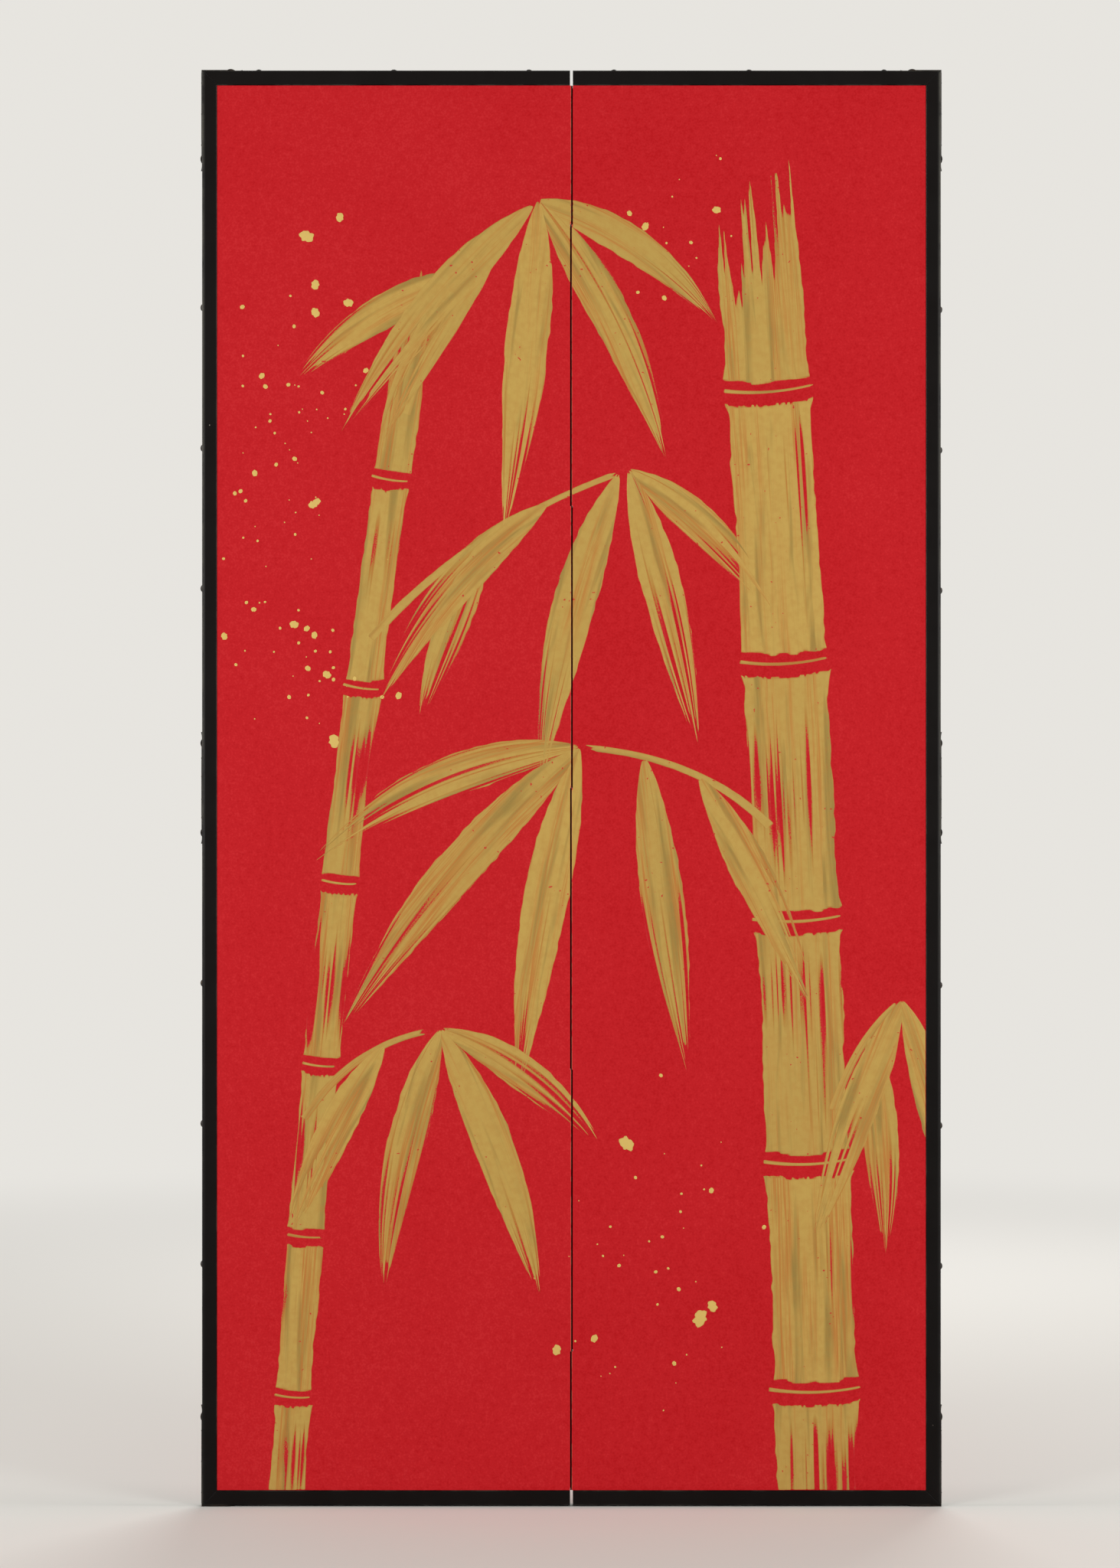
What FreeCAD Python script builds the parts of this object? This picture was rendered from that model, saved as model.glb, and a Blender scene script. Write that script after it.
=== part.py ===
import FreeCAD, Part
import math
import os

# Two-panel folding screen, in millimetres, +Z up, front towards -Y.
# The origin is on the floor, under the middle of the slit between the two panels.
# Distances named from the hinge are measured sideways from the middle of that slit.

# Lacquered frame on the three outer edges of a panel
frame_height = 1757.0         # lowest edge to highest edge
panel_width = 450.8           # outer edge of the frame to the papered hinge edge
frame_face = 18.5             # width of a frame member seen from the front
frame_depth = 20.0            # front to back
frame_chamfer = 1.3           # on the four long edges of a member
frame_proud = 0.5             # the frame stands this far above the paper, front and back
rail_setback = 0.1            # the rails end this far short of the papered hinge edge

# Paper layers on each face, and on the hinge edge
sheet_thickness = 0.5
underlay_thickness = 1.0
edge_paper_thickness = 0.4

# Softwood core under the paper
core_member_width = 21.0
bar_width = 10.0
lattice_columns = 4
lattice_rows = 12
tenon_thickness = 6.0
tenon_shoulder = 2.0          # a tenon is narrower than its member by this much on each edge
rail_tenon_length = 14.0
bar_tenon_length = 6.0
joint_clearance = 0.1
gusset_thickness = 4.0
gusset_margin = 32.0          # from a gusset's tip to the next lattice bar

# Two-way paper hinge
slit_width = 3.2              # between the two papered hinge edges
lip_width = 1.2               # paper turned past the hinge edge
hinge_lengths = 6
hinge_end_length = 188.5      # first and last length, measured from the end of the frame
length_gap = 0.1              # between one hinge length and the next
strip_thickness = 0.6
hem_thickness = 0.3           # paper turned in at the ends of a strip, to close the slit there
hem_clearance = 0.2           # between a hem and the papered hinge edges
flap_thickness = 0.3
flap_width = 40.0
fold_clearance = 0.3          # between a pasted flap and the free strip that it turns into

# Dome-headed studs that nail the frame to the core
stud_head_radius = 4.7
stud_head_height = 2.8
bottom_stud_head_height = 1.4
stud_shank_radius = 1.2
stud_tip_length = 3.0
stud_bite = 10.0              # depth of a shank in the core
shank_clearance = 0.05
rail_studs = 3
rail_stud_hinge_inset = 50.6  # papered hinge edge to the first stud of a rail
rail_stud_outer_inset = 69.0  # outer edge of the frame to the last stud of a rail
half_stile_studs = 3          # above the middle of a stile, and as many below it
stile_stud_end_inset = 292.0
stile_stud_middle_offset = 242.0
left_stud_rise = 2.5          # the studs of the left stile were set this much higher than the right's

# Thin metal fittings on the edge faces of the frame
fitting_thickness = 1.1
fitting_relief = 0.35         # height of the raised field, part of the thickness
fitting_border = 2.2          # flat border round the raised field
fitting_end_length = 18.0     # scalloped and pointed end, raised as two leaves
fitting_hollow = 0.6          # how far the curve to the point is drawn in
leaf_height = 2.1             # the leaves stand this far out of the frame's edge face
leaf_dip = 0.7                # thickness between the two leaves
leaf_curl = 0.3               # how far the outer leaf's back is hollowed towards its tip
foot_thickness = 1.7          # bottom rail arm of a corner fitting, which the screen stands on
corner_stile_arm = 122.0
corner_rail_arm = 49.0
side_fitting_length = 137.0
pin_head_radius = 1.8
pin_head_height = 0.8
pin_shank_radius = 0.7
pin_tip_length = 1.5
pin_bite = 8.0                # depth of a pin in the frame
pin_inset = 14.0              # nearest pin to a corner, to a shaped end or to a side fitting's middle
stile_arm_pins = 3
side_fitting_half_pins = 2

SIDES = {"left": -1, "right": 1}
FACES = {"front": -1, "back": 1}
UP = FreeCAD.Vector(0, 0, 1)
NAIL_AXIS = FreeCAD.Vector(0, 1, 0)

# Places worked out from the sizes
hinge_edge = slit_width / 2
rail_end = hinge_edge + rail_setback
outer_edge = hinge_edge + panel_width
inner_edge = outer_edge - frame_face
frame_bottom = foot_thickness
frame_top = frame_bottom + frame_height
frame_middle = (frame_bottom + frame_top) / 2
core_bottom = frame_bottom + frame_face
core_top = frame_top - frame_face
half_depth = frame_depth / 2
sheet_outer = half_depth - frame_proud
sheet_inner = sheet_outer - sheet_thickness
core_half = sheet_inner - underlay_thickness
flap_inner = sheet_inner - flap_thickness
core_edge = hinge_edge + edge_paper_thickness
bay_start = core_edge + core_member_width
bay_end = inner_edge - core_member_width
bay_bottom = core_bottom + core_member_width
bay_top = core_top - core_member_width
column_pitch = (bay_end - bay_start) / lattice_columns
row_pitch = (bay_top - bay_bottom) / lattice_rows
columns = [bay_start + i * column_pitch for i in range(1, lattice_columns)]
rows = [bay_bottom + i * row_pitch for i in range(1, lattice_rows)]
core_height = (core_bottom, core_top)
core_depth = (-core_half, core_half)


def on(sign, *distances):
    """Distances from a middle plane, taken to one side of it."""
    return [sign * d for d in distances]


def about(middle, half):
    """Two ends, the same distance either side of a middle."""
    return middle - half, middle + half


def block(*spans):
    """Box over an X, a Y and a Z span, each a pair of ends in any order."""
    size = [max(s) - min(s) for s in spans]
    return Part.makeBox(*size, FreeCAD.Vector(*[min(s) for s in spans]))


def prism(corners, way):
    """Straight-sided outline through its corners, carried along a vector."""
    return Part.Face(Part.makePolygon([*corners, corners[0]])).extrude(way)


def spread(first, last, count):
    """Evenly spaced places from the first to the last."""
    return [first + (last - first) * i / (count - 1) for i in range(count)]


# Wooden core

def tenon(side, x, z, grow=0.0):
    """Stub of a member's end over an X and a Z span, grown all round for its mortise."""
    reach = (min(x) - grow, max(x) + grow)
    height = (min(z) - grow, max(z) + grow)
    return block(on(side, *reach), about(0, tenon_thickness / 2 + grow), height)


def rail_tenons(side, z, grow=0.0):
    """Tenons of a core rail, one in each core stile."""
    height = (z[0] + tenon_shoulder, z[1] - tenon_shoulder)
    ends = ((bay_start - rail_tenon_length, bay_start), (bay_end, bay_end + rail_tenon_length))
    return [tenon(side, x, height, grow) for x in ends]


def row_tenons(side, z, grow=0.0):
    """Stub tenons of a lattice horizontal, one in each core stile."""
    height = about(z, bar_width / 2 - tenon_shoulder)
    ends = ((bay_start - bar_tenon_length, bay_start), (bay_end, bay_end + bar_tenon_length))
    return [tenon(side, x, height, grow) for x in ends]


def column_tenons(side, x, grow=0.0):
    """Stub tenons of a lattice vertical, one in each core rail."""
    width = about(x, bar_width / 2 - tenon_shoulder)
    ends = ((bay_bottom - bar_tenon_length, bay_bottom), (bay_top, bay_top + bar_tenon_length))
    return [tenon(side, width, z, grow) for z in ends]


def core_stile(side, edge):
    """Upright of the core from a hinge-side edge, mortised for the rails and the lattice."""
    body = block(on(side, edge, edge + core_member_width), core_depth, core_height)
    mortises = []
    for z in ((core_bottom, bay_bottom), (bay_top, core_top)):
        mortises += rail_tenons(side, z, joint_clearance)
    for z in rows:
        mortises += row_tenons(side, z, joint_clearance)
    return body.cut(mortises)


def core_rail(side, z):
    """Crosspiece of the core between the stiles, tenoned into them and mortised for the lattice."""
    body = block(on(side, bay_start, bay_end), core_depth, z)
    mortises = []
    for x in columns:
        mortises += column_tenons(side, x, joint_clearance)
    return body.fuse(rail_tenons(side, z)).cut(mortises)


def lattice_vertical(side, x):
    """Upright bar of the lattice, its front half cut away where a horizontal crosses it."""
    width = on(side, *about(x, bar_width / 2))
    body = block(width, core_depth, (bay_bottom, bay_top)).fuse(column_tenons(side, x))
    half_lap = bar_width / 2 + joint_clearance
    laps = [block(width, (-core_half, 0), about(z, half_lap)) for z in rows]
    return body.cut(laps)


def lattice_horizontal(side, z):
    """Level bar of the lattice, its back half cut away where a vertical crosses it."""
    height = about(z, bar_width / 2)
    body = block(on(side, bay_start, bay_end), core_depth, height).fuse(row_tenons(side, z))
    half_lap = bar_width / 2 + joint_clearance
    laps = [block(on(side, *about(x, half_lap)), (0, core_half), height) for x in columns]
    return body.cut(laps)


def corner_gusset(side, x, z, x_way, z_way):
    """Triangular board in a corner of the core, its two legs along the stile and the rail."""
    leg = min(column_pitch, row_pitch) - bar_width / 2 - gusset_margin
    places = ((x, z), (x + x_way * leg, z), (x, z + z_way * leg))
    corners = [FreeCAD.Vector(side * a, -gusset_thickness / 2, b) for a, b in places]
    return prism(corners, FreeCAD.Vector(0, gusset_thickness, 0))


def corner_gussets(side):
    """Four boards, one in each corner of the core."""
    uprights = ((bay_start, 1), (bay_end, -1))
    levels = ((bay_bottom, 1), (bay_top, -1))
    return [corner_gusset(side, x, z, i, k) for x, i in uprights for z, k in levels]


# Paper layers and the two-way hinge

def hinge_spans():
    """Height spans of the hinge lengths, from the top down, with half a gap at each end."""
    middle_length = (frame_height - 2 * hinge_end_length) / (hinge_lengths - 2)
    first_cut = frame_top - hinge_end_length
    cuts = [first_cut - i * middle_length for i in range(hinge_lengths - 1)]
    ends = [core_top, *cuts, core_bottom]
    return [(low + length_gap / 2, high - length_gap / 2) for high, low in zip(ends, ends[1:])]


def pasted_spans(side, face):
    """Hinge lengths pasted to one face of a panel.

    The first, third and fifth strips run from the left front to the right back, the others from the
    right front to the left back.
    """
    first = 0 if side == face else 1
    return hinge_spans()[first::2]


def flap(side, face, span):
    """Pasted end of a hinge strip, with the lip that it makes past the hinge edge."""
    width = on(side, hinge_edge - lip_width, hinge_edge + flap_width)
    return block(width, on(face, flap_inner, sheet_inner), span)


def flaps(side, face):
    """The flaps on one face of a panel."""
    return [flap(side, face, span) for span in pasted_spans(side, face)]


def underlay(side, face):
    """Lining paper over one face of the core, recessed for the flaps pasted on it."""
    depth = on(face, core_half, sheet_inner)
    body = block(on(side, hinge_edge, inner_edge), depth, core_height)
    return body.cut(flaps(side, face))


def sheet(side, face):
    """Face paper over the lining, turned past the hinge edge wherever a flap lies under it."""
    depth = on(face, sheet_inner, sheet_outer)
    body = block(on(side, hinge_edge, inner_edge), depth, core_height)
    lip = on(side, hinge_edge - lip_width, hinge_edge)
    lips = [block(lip, depth, span) for span in pasted_spans(side, face)]
    return body.fuse(lips).removeSplitter()


def edge_paper(side):
    """Strip of paper that covers the hinge edge of the core."""
    return block(on(side, hinge_edge, core_edge), core_depth, core_height)


def hinge_strip(index, span):
    """Free width of a hinge strip, slanting from a front lip of one panel to a back lip of the other.

    It is turned in at both ends, and these hems fill the slit from one hinge edge to the other.
    """
    front_side = -1 if index % 2 == 0 else 1
    near = front_side * (hinge_edge - lip_width)
    far = near + front_side * strip_thickness
    reach = flap_inner - fold_clearance
    places = ((far, -reach), (near, -reach), (-far, reach), (-near, reach))
    corners = [FreeCAD.Vector(x, y, span[0]) for x, y in places]
    strip = prism(corners, UP * (span[1] - span[0]))
    hem_spans = ((span[0], span[0] + hem_thickness), (span[1] - hem_thickness, span[1]))
    hems = [block(about(0, hinge_edge - hem_clearance), about(0, reach), z) for z in hem_spans]
    return strip.fuse(hems).removeSplitter()


# Studs and pins

def lobe(start, end):
    """Arc in the XY plane that leaves its start along X and bends down to its end."""
    run = end.x - start.x
    drop = start.y - end.y
    radius = (run * run + drop * drop) / (2 * drop)
    half_turn = math.atan2(run, radius - drop) / 2
    middle = start + FreeCAD.Vector(math.sin(half_turn), math.cos(half_turn) - 1) * radius
    return start, middle, end


def outline_face(corners, arcs):
    """Face inside straight edges through the corners in turn, closed by arcs of three points each."""
    edges = [Part.LineSegment(a, b).toShape() for a, b in zip(corners, corners[1:])]
    edges += [Part.Arc(*arc).toShape() for arc in arcs]
    return Part.Face(Part.Wire(Part.sortEdges(edges)[0]))


def turned_nail(head_radius, head_height, shank_radius, shank_length, tip_length):
    """Nail turned about Y: a pointed shank below y = 0 and a domed head above it."""
    crown = FreeCAD.Vector(0, head_height)
    tip = FreeCAD.Vector(0, -shank_length)
    point_base = FreeCAD.Vector(shank_radius, tip_length - shank_length)
    neck = FreeCAD.Vector(shank_radius, 0)
    rim = FreeCAD.Vector(head_radius, 0)
    half_section = outline_face([crown, tip, point_base, neck, rim], [lobe(crown, rim)])
    return half_section.revolve(FreeCAD.Vector(), NAIL_AXIS, 360)


def driven(nail, place, outward):
    """A nail set at a place on a face, its head outward."""
    nail = nail.copy()
    nail.Placement = FreeCAD.Placement(place, FreeCAD.Rotation(NAIL_AXIS, outward))
    return nail


def hole(place, outward, radius, depth):
    """Bore for a shank, from a place on a face inward."""
    return Part.makeCylinder(radius + shank_clearance, depth, place, -outward)


def rail_stud_places(side, z, outward):
    """Where the studs of a frame rail stand, as (place, outward) pairs."""
    first = hinge_edge + rail_stud_hinge_inset
    last = outer_edge - rail_stud_outer_inset
    return [(FreeCAD.Vector(side * x, 0, z), outward) for x in spread(first, last, rail_studs)]


def stile_stud_places(side):
    """Where the studs of a frame stile stand, as many above its middle as below."""
    end_offset = frame_height / 2 - stile_stud_end_inset
    offsets = spread(stile_stud_middle_offset, end_offset, half_stile_studs)
    middle = frame_middle + (left_stud_rise if side < 0 else 0)
    heights = [middle + way * offset for way in (1, -1) for offset in offsets]
    outward = FreeCAD.Vector(side, 0, 0)
    return [(FreeCAD.Vector(side * outer_edge, 0, z), outward) for z in heights]


def stud_places(side):
    """Every stud of a panel, by the name of its group."""
    return {
        "top_studs": rail_stud_places(side, frame_top, UP),
        "side_studs": stile_stud_places(side),
        "bottom_studs": rail_stud_places(side, frame_bottom, -UP),
    }


def studs(places, head_height):
    """Studs at their places, each shank through the frame and into the core."""
    shank = frame_face + stud_bite
    nail = turned_nail(stud_head_radius, head_height, stud_shank_radius, shank, stud_tip_length)
    return [driven(nail, place, outward) for place, outward in places]


def stud_holes(side):
    """Bores of every stud of a panel."""
    depth = frame_face + stud_bite
    groups = stud_places(side).values()
    return [hole(*at, stud_shank_radius, depth) for places in groups for at in places]


# Metal fittings

def bowed(start, end, depth):
    """Arc in the XY plane, drawn in from the line between its ends, or bulged by a negative depth."""
    chord = end - start
    inward = FreeCAD.Vector(chord.y, -chord.x).normalize()
    return start, start + chord / 2 + inward * depth, end


def shaped_plate(start, end, half_width, thickness):
    """Plate in the XY plane from one X to another, its far end scalloped and drawn to a point.

    Each half of that end is a bulging lobe, then a hollow curve to the point.
    """
    lobe_start = FreeCAD.Vector(end - fitting_end_length, half_width)
    cusp = FreeCAD.Vector(end - fitting_end_length / 2, half_width / 2)
    arcs = [lobe(lobe_start, cusp), bowed(cusp, FreeCAD.Vector(end, 0), fitting_hollow)]
    flip = FreeCAD.Matrix(1, 0, 0, 0, 0, -1, 0, 0, 0, 0, 1, 0, 0, 0, 0, 1)
    arcs += [[flip.multVec(p) for p in arc] for arc in arcs]
    near_corners = [FreeCAD.Vector(start, -half_width), FreeCAD.Vector(start, half_width)]
    face = outline_face([flip.multVec(lobe_start), *near_corners, lobe_start], arcs)
    return face.extrude(UP * thickness)


def leaf_profile(start, end, half_width):
    """Long section of an arm, carried across its width.

    It is a flat plate, then a domed leaf, a dip and a leaf that curls outward to its tip.
    """
    border = fitting_thickness - fitting_relief
    tip = FreeCAD.Vector(end, leaf_height)
    dip = FreeCAD.Vector(end - fitting_end_length / 2, leaf_dip)
    leaf_foot = FreeCAD.Vector(end - fitting_end_length, border)
    near_end = [FreeCAD.Vector(start, border), FreeCAD.Vector(start, 0)]
    plate = [leaf_foot, *near_end, FreeCAD.Vector(end, 0), tip]
    dome = bowed(leaf_foot, dip, (leaf_dip + border) / 2 - leaf_height)
    section = outline_face(plate, [dome, bowed(dip, tip, leaf_curl)])
    section.rotate(FreeCAD.Vector(), FreeCAD.Vector(1, 0, 0), 90)
    section.translate(FreeCAD.Vector(0, half_width, 0))
    return section.extrude(FreeCAD.Vector(0, -2 * half_width, 0))


def relief_arm(start, length):
    """Arm of a fitting: a thin plate with a raised field in a flat border, and two leaves at its end."""
    half_width = half_depth - frame_chamfer
    blank = shaped_plate(start, length, half_width, 2 * leaf_height)
    field_ends = (max(start, 0) + fitting_border, length - fitting_end_length - fitting_border)
    field = shaped_plate(*field_ends, half_width - fitting_border, fitting_thickness)
    return blank.common(leaf_profile(start, length, half_width)).fuse(field)


def laid(shape, place, along, outward):
    """A piece made in the XY plane, laid on a face with its X axis along it and its Z axis outward."""
    turn = FreeCAD.Rotation(along, outward.cross(along), outward, "XYZ")
    shape = shape.copy()
    shape.Placement = FreeCAD.Placement(place, turn)
    return shape


def arm_pin_places(place, along, outward, offsets):
    """Pins of an arm, on the top of its raised field, as (place, outward) pairs."""
    return [(place + along * s + outward * fitting_thickness, outward) for s in offsets]


def corner_place(side, up):
    """Outer corner of the frame at the top (up = 1) or the bottom (up = -1)."""
    return FreeCAD.Vector(side * outer_edge, 0, frame_top if up > 0 else frame_bottom)


def corner_pins(side, up):
    """Pins of a corner fitting. The arm that the screen stands on has none."""
    place = corner_place(side, up)
    outward = FreeCAD.Vector(side, 0, 0)
    offsets = spread(pin_inset, corner_stile_arm - fitting_end_length - pin_inset, stile_arm_pins)
    pins = arm_pin_places(place, UP * -up, outward, offsets)
    if up > 0:
        pins += arm_pin_places(place, -outward, UP, [pin_inset])
    return pins


def side_fitting_pins(side):
    """Pins of the fitting at the middle of a stile."""
    place = FreeCAD.Vector(side * outer_edge, 0, frame_middle)
    end = side_fitting_length / 2 - fitting_end_length - pin_inset
    offsets = spread(pin_inset, end, side_fitting_half_pins)
    offsets += [-s for s in offsets]
    return arm_pin_places(place, UP, FreeCAD.Vector(side, 0, 0), offsets)


def pin_places(side):
    """Every fitting pin of a panel."""
    return corner_pins(side, 1) + corner_pins(side, -1) + side_fitting_pins(side)


def pin_holes(side):
    """Bores of every fitting pin, through the fitting and into the frame."""
    depth = fitting_thickness + pin_bite
    return [hole(*at, pin_shank_radius, depth) for at in pin_places(side)]


def fitting_pins(side):
    """Small domed pins that hold the fittings."""
    shank = fitting_thickness + pin_bite
    nail = turned_nail(pin_head_radius, pin_head_height, pin_shank_radius, shank, pin_tip_length)
    return [driven(nail, place, outward) for place, outward in pin_places(side)]


def corner_fitting(side, up):
    """Bent plate round an outer corner. Its bottom rail arm is plain, because the screen stands on it."""
    place = corner_place(side, up)
    outward = FreeCAD.Vector(side, 0, 0)
    plain = shaped_plate(0, corner_rail_arm, half_depth - frame_chamfer, foot_thickness)
    rail_arm = relief_arm(0, corner_rail_arm) if up > 0 else plain
    bend = fitting_thickness - fitting_relief if up > 0 else foot_thickness
    stile_arm = laid(relief_arm(-bend, corner_stile_arm), place, UP * -up, outward)
    body = stile_arm.fuse(laid(rail_arm, place, -outward, UP * up)).removeSplitter()
    return body.cut(pin_holes(side))


def side_fitting(side):
    """Plate at the middle of a stile, shaped at both ends."""
    place = FreeCAD.Vector(side * outer_edge, 0, frame_middle)
    outward = FreeCAD.Vector(side, 0, 0)
    arm = relief_arm(-fitting_border, side_fitting_length / 2)
    field = block((-fitting_border, fitting_border), about(0, half_depth - frame_chamfer - fitting_border),
                  (0, fitting_thickness))
    arms = [laid(arm, place, way, outward) for way in (UP, -UP)]
    body = laid(field, place, UP, outward).fuse(arms).removeSplitter()
    return body.cut(pin_holes(side))


# Lacquered frame

def frame_section(inner, outer):
    """Corners of a frame member's chamfered section, as (across, depth) pairs."""
    cut = frame_chamfer
    across = (inner + cut, outer - cut) if outer > inner else (inner - cut, outer + cut)
    front = [(across[0], -half_depth), (across[1], -half_depth)]
    edge = [(outer, cut - half_depth), (outer, half_depth - cut)]
    back = [(across[1], half_depth), (across[0], half_depth)]
    return front + edge + back + [(inner, half_depth - cut), (inner, cut - half_depth)]


def mitre_waste(side, up, keep_rail):
    """Triangle beyond the 45 degree mitre of an outer corner, on the stile's side or on the rail's."""
    corner = FreeCAD.Vector(side * outer_edge, -frame_depth, frame_top if up > 0 else frame_bottom)
    inward = FreeCAD.Vector(-side, 0, -up) * (2 * frame_face)
    outside = FreeCAD.Vector(side, 0, up) * frame_face
    ends = [corner + inward, corner + outside]
    third = FreeCAD.Vector(ends[1].x, ends[1].y, ends[0].z)
    if not keep_rail:
        third = FreeCAD.Vector(ends[0].x, ends[0].y, ends[1].z)
    return prism([*ends, third], FreeCAD.Vector(0, 2 * frame_depth, 0))


def frame_rail(side, up):
    """Top or bottom member, square at the hinge and mitred at the outer corner."""
    inner, outer = (core_top, frame_top) if up > 0 else (core_bottom, frame_bottom)
    corners = [FreeCAD.Vector(side * rail_end, y, z) for z, y in frame_section(inner, outer)]
    body = prism(corners, FreeCAD.Vector(side * (outer_edge - rail_end), 0, 0))
    return body.cut([mitre_waste(side, up, True), *stud_holes(side), *pin_holes(side)])


def frame_stile(side):
    """Outer upright, mitred at both ends."""
    section = frame_section(inner_edge, outer_edge)
    corners = [FreeCAD.Vector(side * x, y, frame_bottom) for x, y in section]
    body = prism(corners, UP * frame_height)
    waste = [mitre_waste(side, up, False) for up in (1, -1)]
    return body.cut([*waste, *stud_holes(side), *pin_holes(side)])


def panel(side):
    """Every piece of one panel, by name. Like pieces are grouped under one name."""
    bores = stud_holes(side)
    places = stud_places(side)
    pieces = {
        "core_outer_stile": core_stile(side, inner_edge - core_member_width).cut(bores),
        "core_hinge_stile": core_stile(side, core_edge).cut(bores),
        "core_top_rail": core_rail(side, (bay_top, core_top)).cut(bores),
        "core_bottom_rail": core_rail(side, (core_bottom, bay_bottom)).cut(bores),
        "lattice_verticals": [lattice_vertical(side, x) for x in columns],
        "lattice_horizontals": [lattice_horizontal(side, z) for z in rows],
        "corner_gussets": corner_gussets(side),
        "edge_paper": edge_paper(side),
        "frame_top_rail": frame_rail(side, 1),
        "frame_bottom_rail": frame_rail(side, -1),
        "frame_outer_stile": frame_stile(side),
        "top_studs": studs(places["top_studs"], stud_head_height),
        "side_studs": studs(places["side_studs"], stud_head_height),
        "bottom_studs": studs(places["bottom_studs"], bottom_stud_head_height),
        "top_corner_fitting": corner_fitting(side, 1),
        "bottom_corner_fitting": corner_fitting(side, -1),
        "side_fitting": side_fitting(side),
        "fitting_pins": fitting_pins(side),
    }
    for face_name, face in FACES.items():
        pieces[f"{face_name}_underlay"] = underlay(side, face)
        pieces[f"{face_name}_hinge_flaps"] = flaps(side, face)
        pieces[f"{face_name}_sheet"] = sheet(side, face)
    return pieces


def write(name, piece):
    """One STEP file for a piece, or for a group of like pieces."""
    shape = Part.makeCompound(piece) if isinstance(piece, list) else piece
    shape.exportStep(f"parts/{name}.step")


os.makedirs("parts", exist_ok=True)
for side_name, side_sign in SIDES.items():
    for piece_name, made in panel(side_sign).items():
        write(f"{side_name}_{piece_name}", made)
for number, height_span in enumerate(hinge_spans()):
    write(f"hinge_strip_{number + 1}", hinge_strip(number, height_span))
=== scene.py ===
import bpy
import math
import numpy as np
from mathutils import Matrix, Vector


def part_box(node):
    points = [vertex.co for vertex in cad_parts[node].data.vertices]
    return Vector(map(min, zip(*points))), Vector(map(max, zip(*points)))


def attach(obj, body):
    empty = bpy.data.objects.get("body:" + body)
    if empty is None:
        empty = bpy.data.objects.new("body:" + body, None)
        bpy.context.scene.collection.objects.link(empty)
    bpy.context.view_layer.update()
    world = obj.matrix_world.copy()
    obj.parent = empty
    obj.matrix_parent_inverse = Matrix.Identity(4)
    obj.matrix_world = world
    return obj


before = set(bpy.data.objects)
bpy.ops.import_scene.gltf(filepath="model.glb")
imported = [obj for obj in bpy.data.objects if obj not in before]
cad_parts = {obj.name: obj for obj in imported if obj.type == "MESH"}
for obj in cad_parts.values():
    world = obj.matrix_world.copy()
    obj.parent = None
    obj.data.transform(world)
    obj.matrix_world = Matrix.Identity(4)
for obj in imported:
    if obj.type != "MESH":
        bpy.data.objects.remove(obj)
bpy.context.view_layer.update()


# Wooden core
# Each panel is a light cedar frame with a lattice inside, and triangular boards in its corners.
# The members are sawn and planed, half-lapped and tenoned, and end up closed in behind paper.

class Signal:
    """One output socket of a material's nodes. Arithmetic on it adds Math nodes."""

    def __init__(self, socket):
        self.socket = socket
        self.tree = socket.id_data

    def node(self, kind, inputs, output=0, stops=(), **settings):
        """A node of a kind: its settings and ramp stops first, then the values or links of its sockets."""
        made = self.tree.nodes.new("ShaderNode" + kind)
        for name, value in settings.items():
            setattr(made, name, value)
        for index, (place, colour) in enumerate(stops):
            ramp = made.color_ramp.elements
            stop = ramp[index] if index < 2 else ramp.new(place)
            stop.position = place
            stop.color = (*colour, 1)
        for key, value in inputs.items():
            if isinstance(value, Signal):
                self.tree.links.new(value.socket, made.inputs[key])
            else:
                made.inputs[key].default_value = value
        return Signal(made.outputs[output]) if made.outputs else None

    def math(self, operation, *others):
        """A Math node whose first value is this signal."""
        return self.node("Math", dict(enumerate((self, *others))), operation=operation)

    def __add__(self, other):
        return self.math("ADD", other)

    def __sub__(self, other):
        return self.math("SUBTRACT", other)

    def __rsub__(self, other):
        return self.node("Math", {0: other, 1: self}, operation="SUBTRACT")

    def __mul__(self, other):
        return self.math("MULTIPLY", other)

    __radd__ = __add__
    __rmul__ = __mul__

    def between(self, low, high, new_low=0.0, new_high=1.0):
        """The same signal carried from one span to another with eased ends, and held outside it."""
        spans = {"Value": self, "From Min": low, "From Max": high, "To Min": new_low, "To Max": new_high}
        return self.node("MapRange", spans, interpolation_type="SMOOTHSTEP")

    def mix(self, first, second):
        """Colour between two, by this signal."""
        return self.node("Mix", {0: self, 6: first, 7: second}, output=2, data_type="RGBA")

    def stretched(self, *scale):
        """These coordinates multiplied along X, Y and Z."""
        return self.node("Mapping", {"Vector": self, "Scale": scale})

    def part(self, index):
        """One of a vector's three numbers."""
        return self.node("SeparateXYZ", {0: self}, output=index)

    def noise(self, scale, detail=2.0, roughness=0.5, distortion=0.0):
        """Soft noise about 0.5 at these coordinates, with a scale in cells to a unit of them."""
        sockets = {"Scale": scale, "Detail": detail, "Roughness": roughness, "Distortion": distortion}
        return self.node("TexNoise", {"Vector": self, **sockets})


def new_material(name):
    """An empty material, and the object's coordinates, which its patterns start from."""
    material = bpy.data.materials.new(name)
    material.use_nodes = True
    material.node_tree.nodes.clear()
    texture_place = material.node_tree.nodes.new("ShaderNodeTexCoord")
    return material, Signal(texture_place.outputs["Object"])


def coat(place, **sockets):
    """Ends a material: a Principled shader with these sockets, named with _ for a space, and its output."""
    named = {key.replace("_", " "): value for key, value in sockets.items()}
    shader = place.node("BsdfPrincipled", named)
    place.node("OutputMaterial", {"Surface": shader})


def bump(place, height, distance, strength=1.0):
    """Surface normal for a height from 0 to 1 that stands for a distance in metres."""
    return place.node("Bump", {"Height": height, "Distance": distance, "Strength": strength})


# The two panels, each with the sign of x on its side of the hinge.
panels = {"left": -1, "right": 1}


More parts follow.
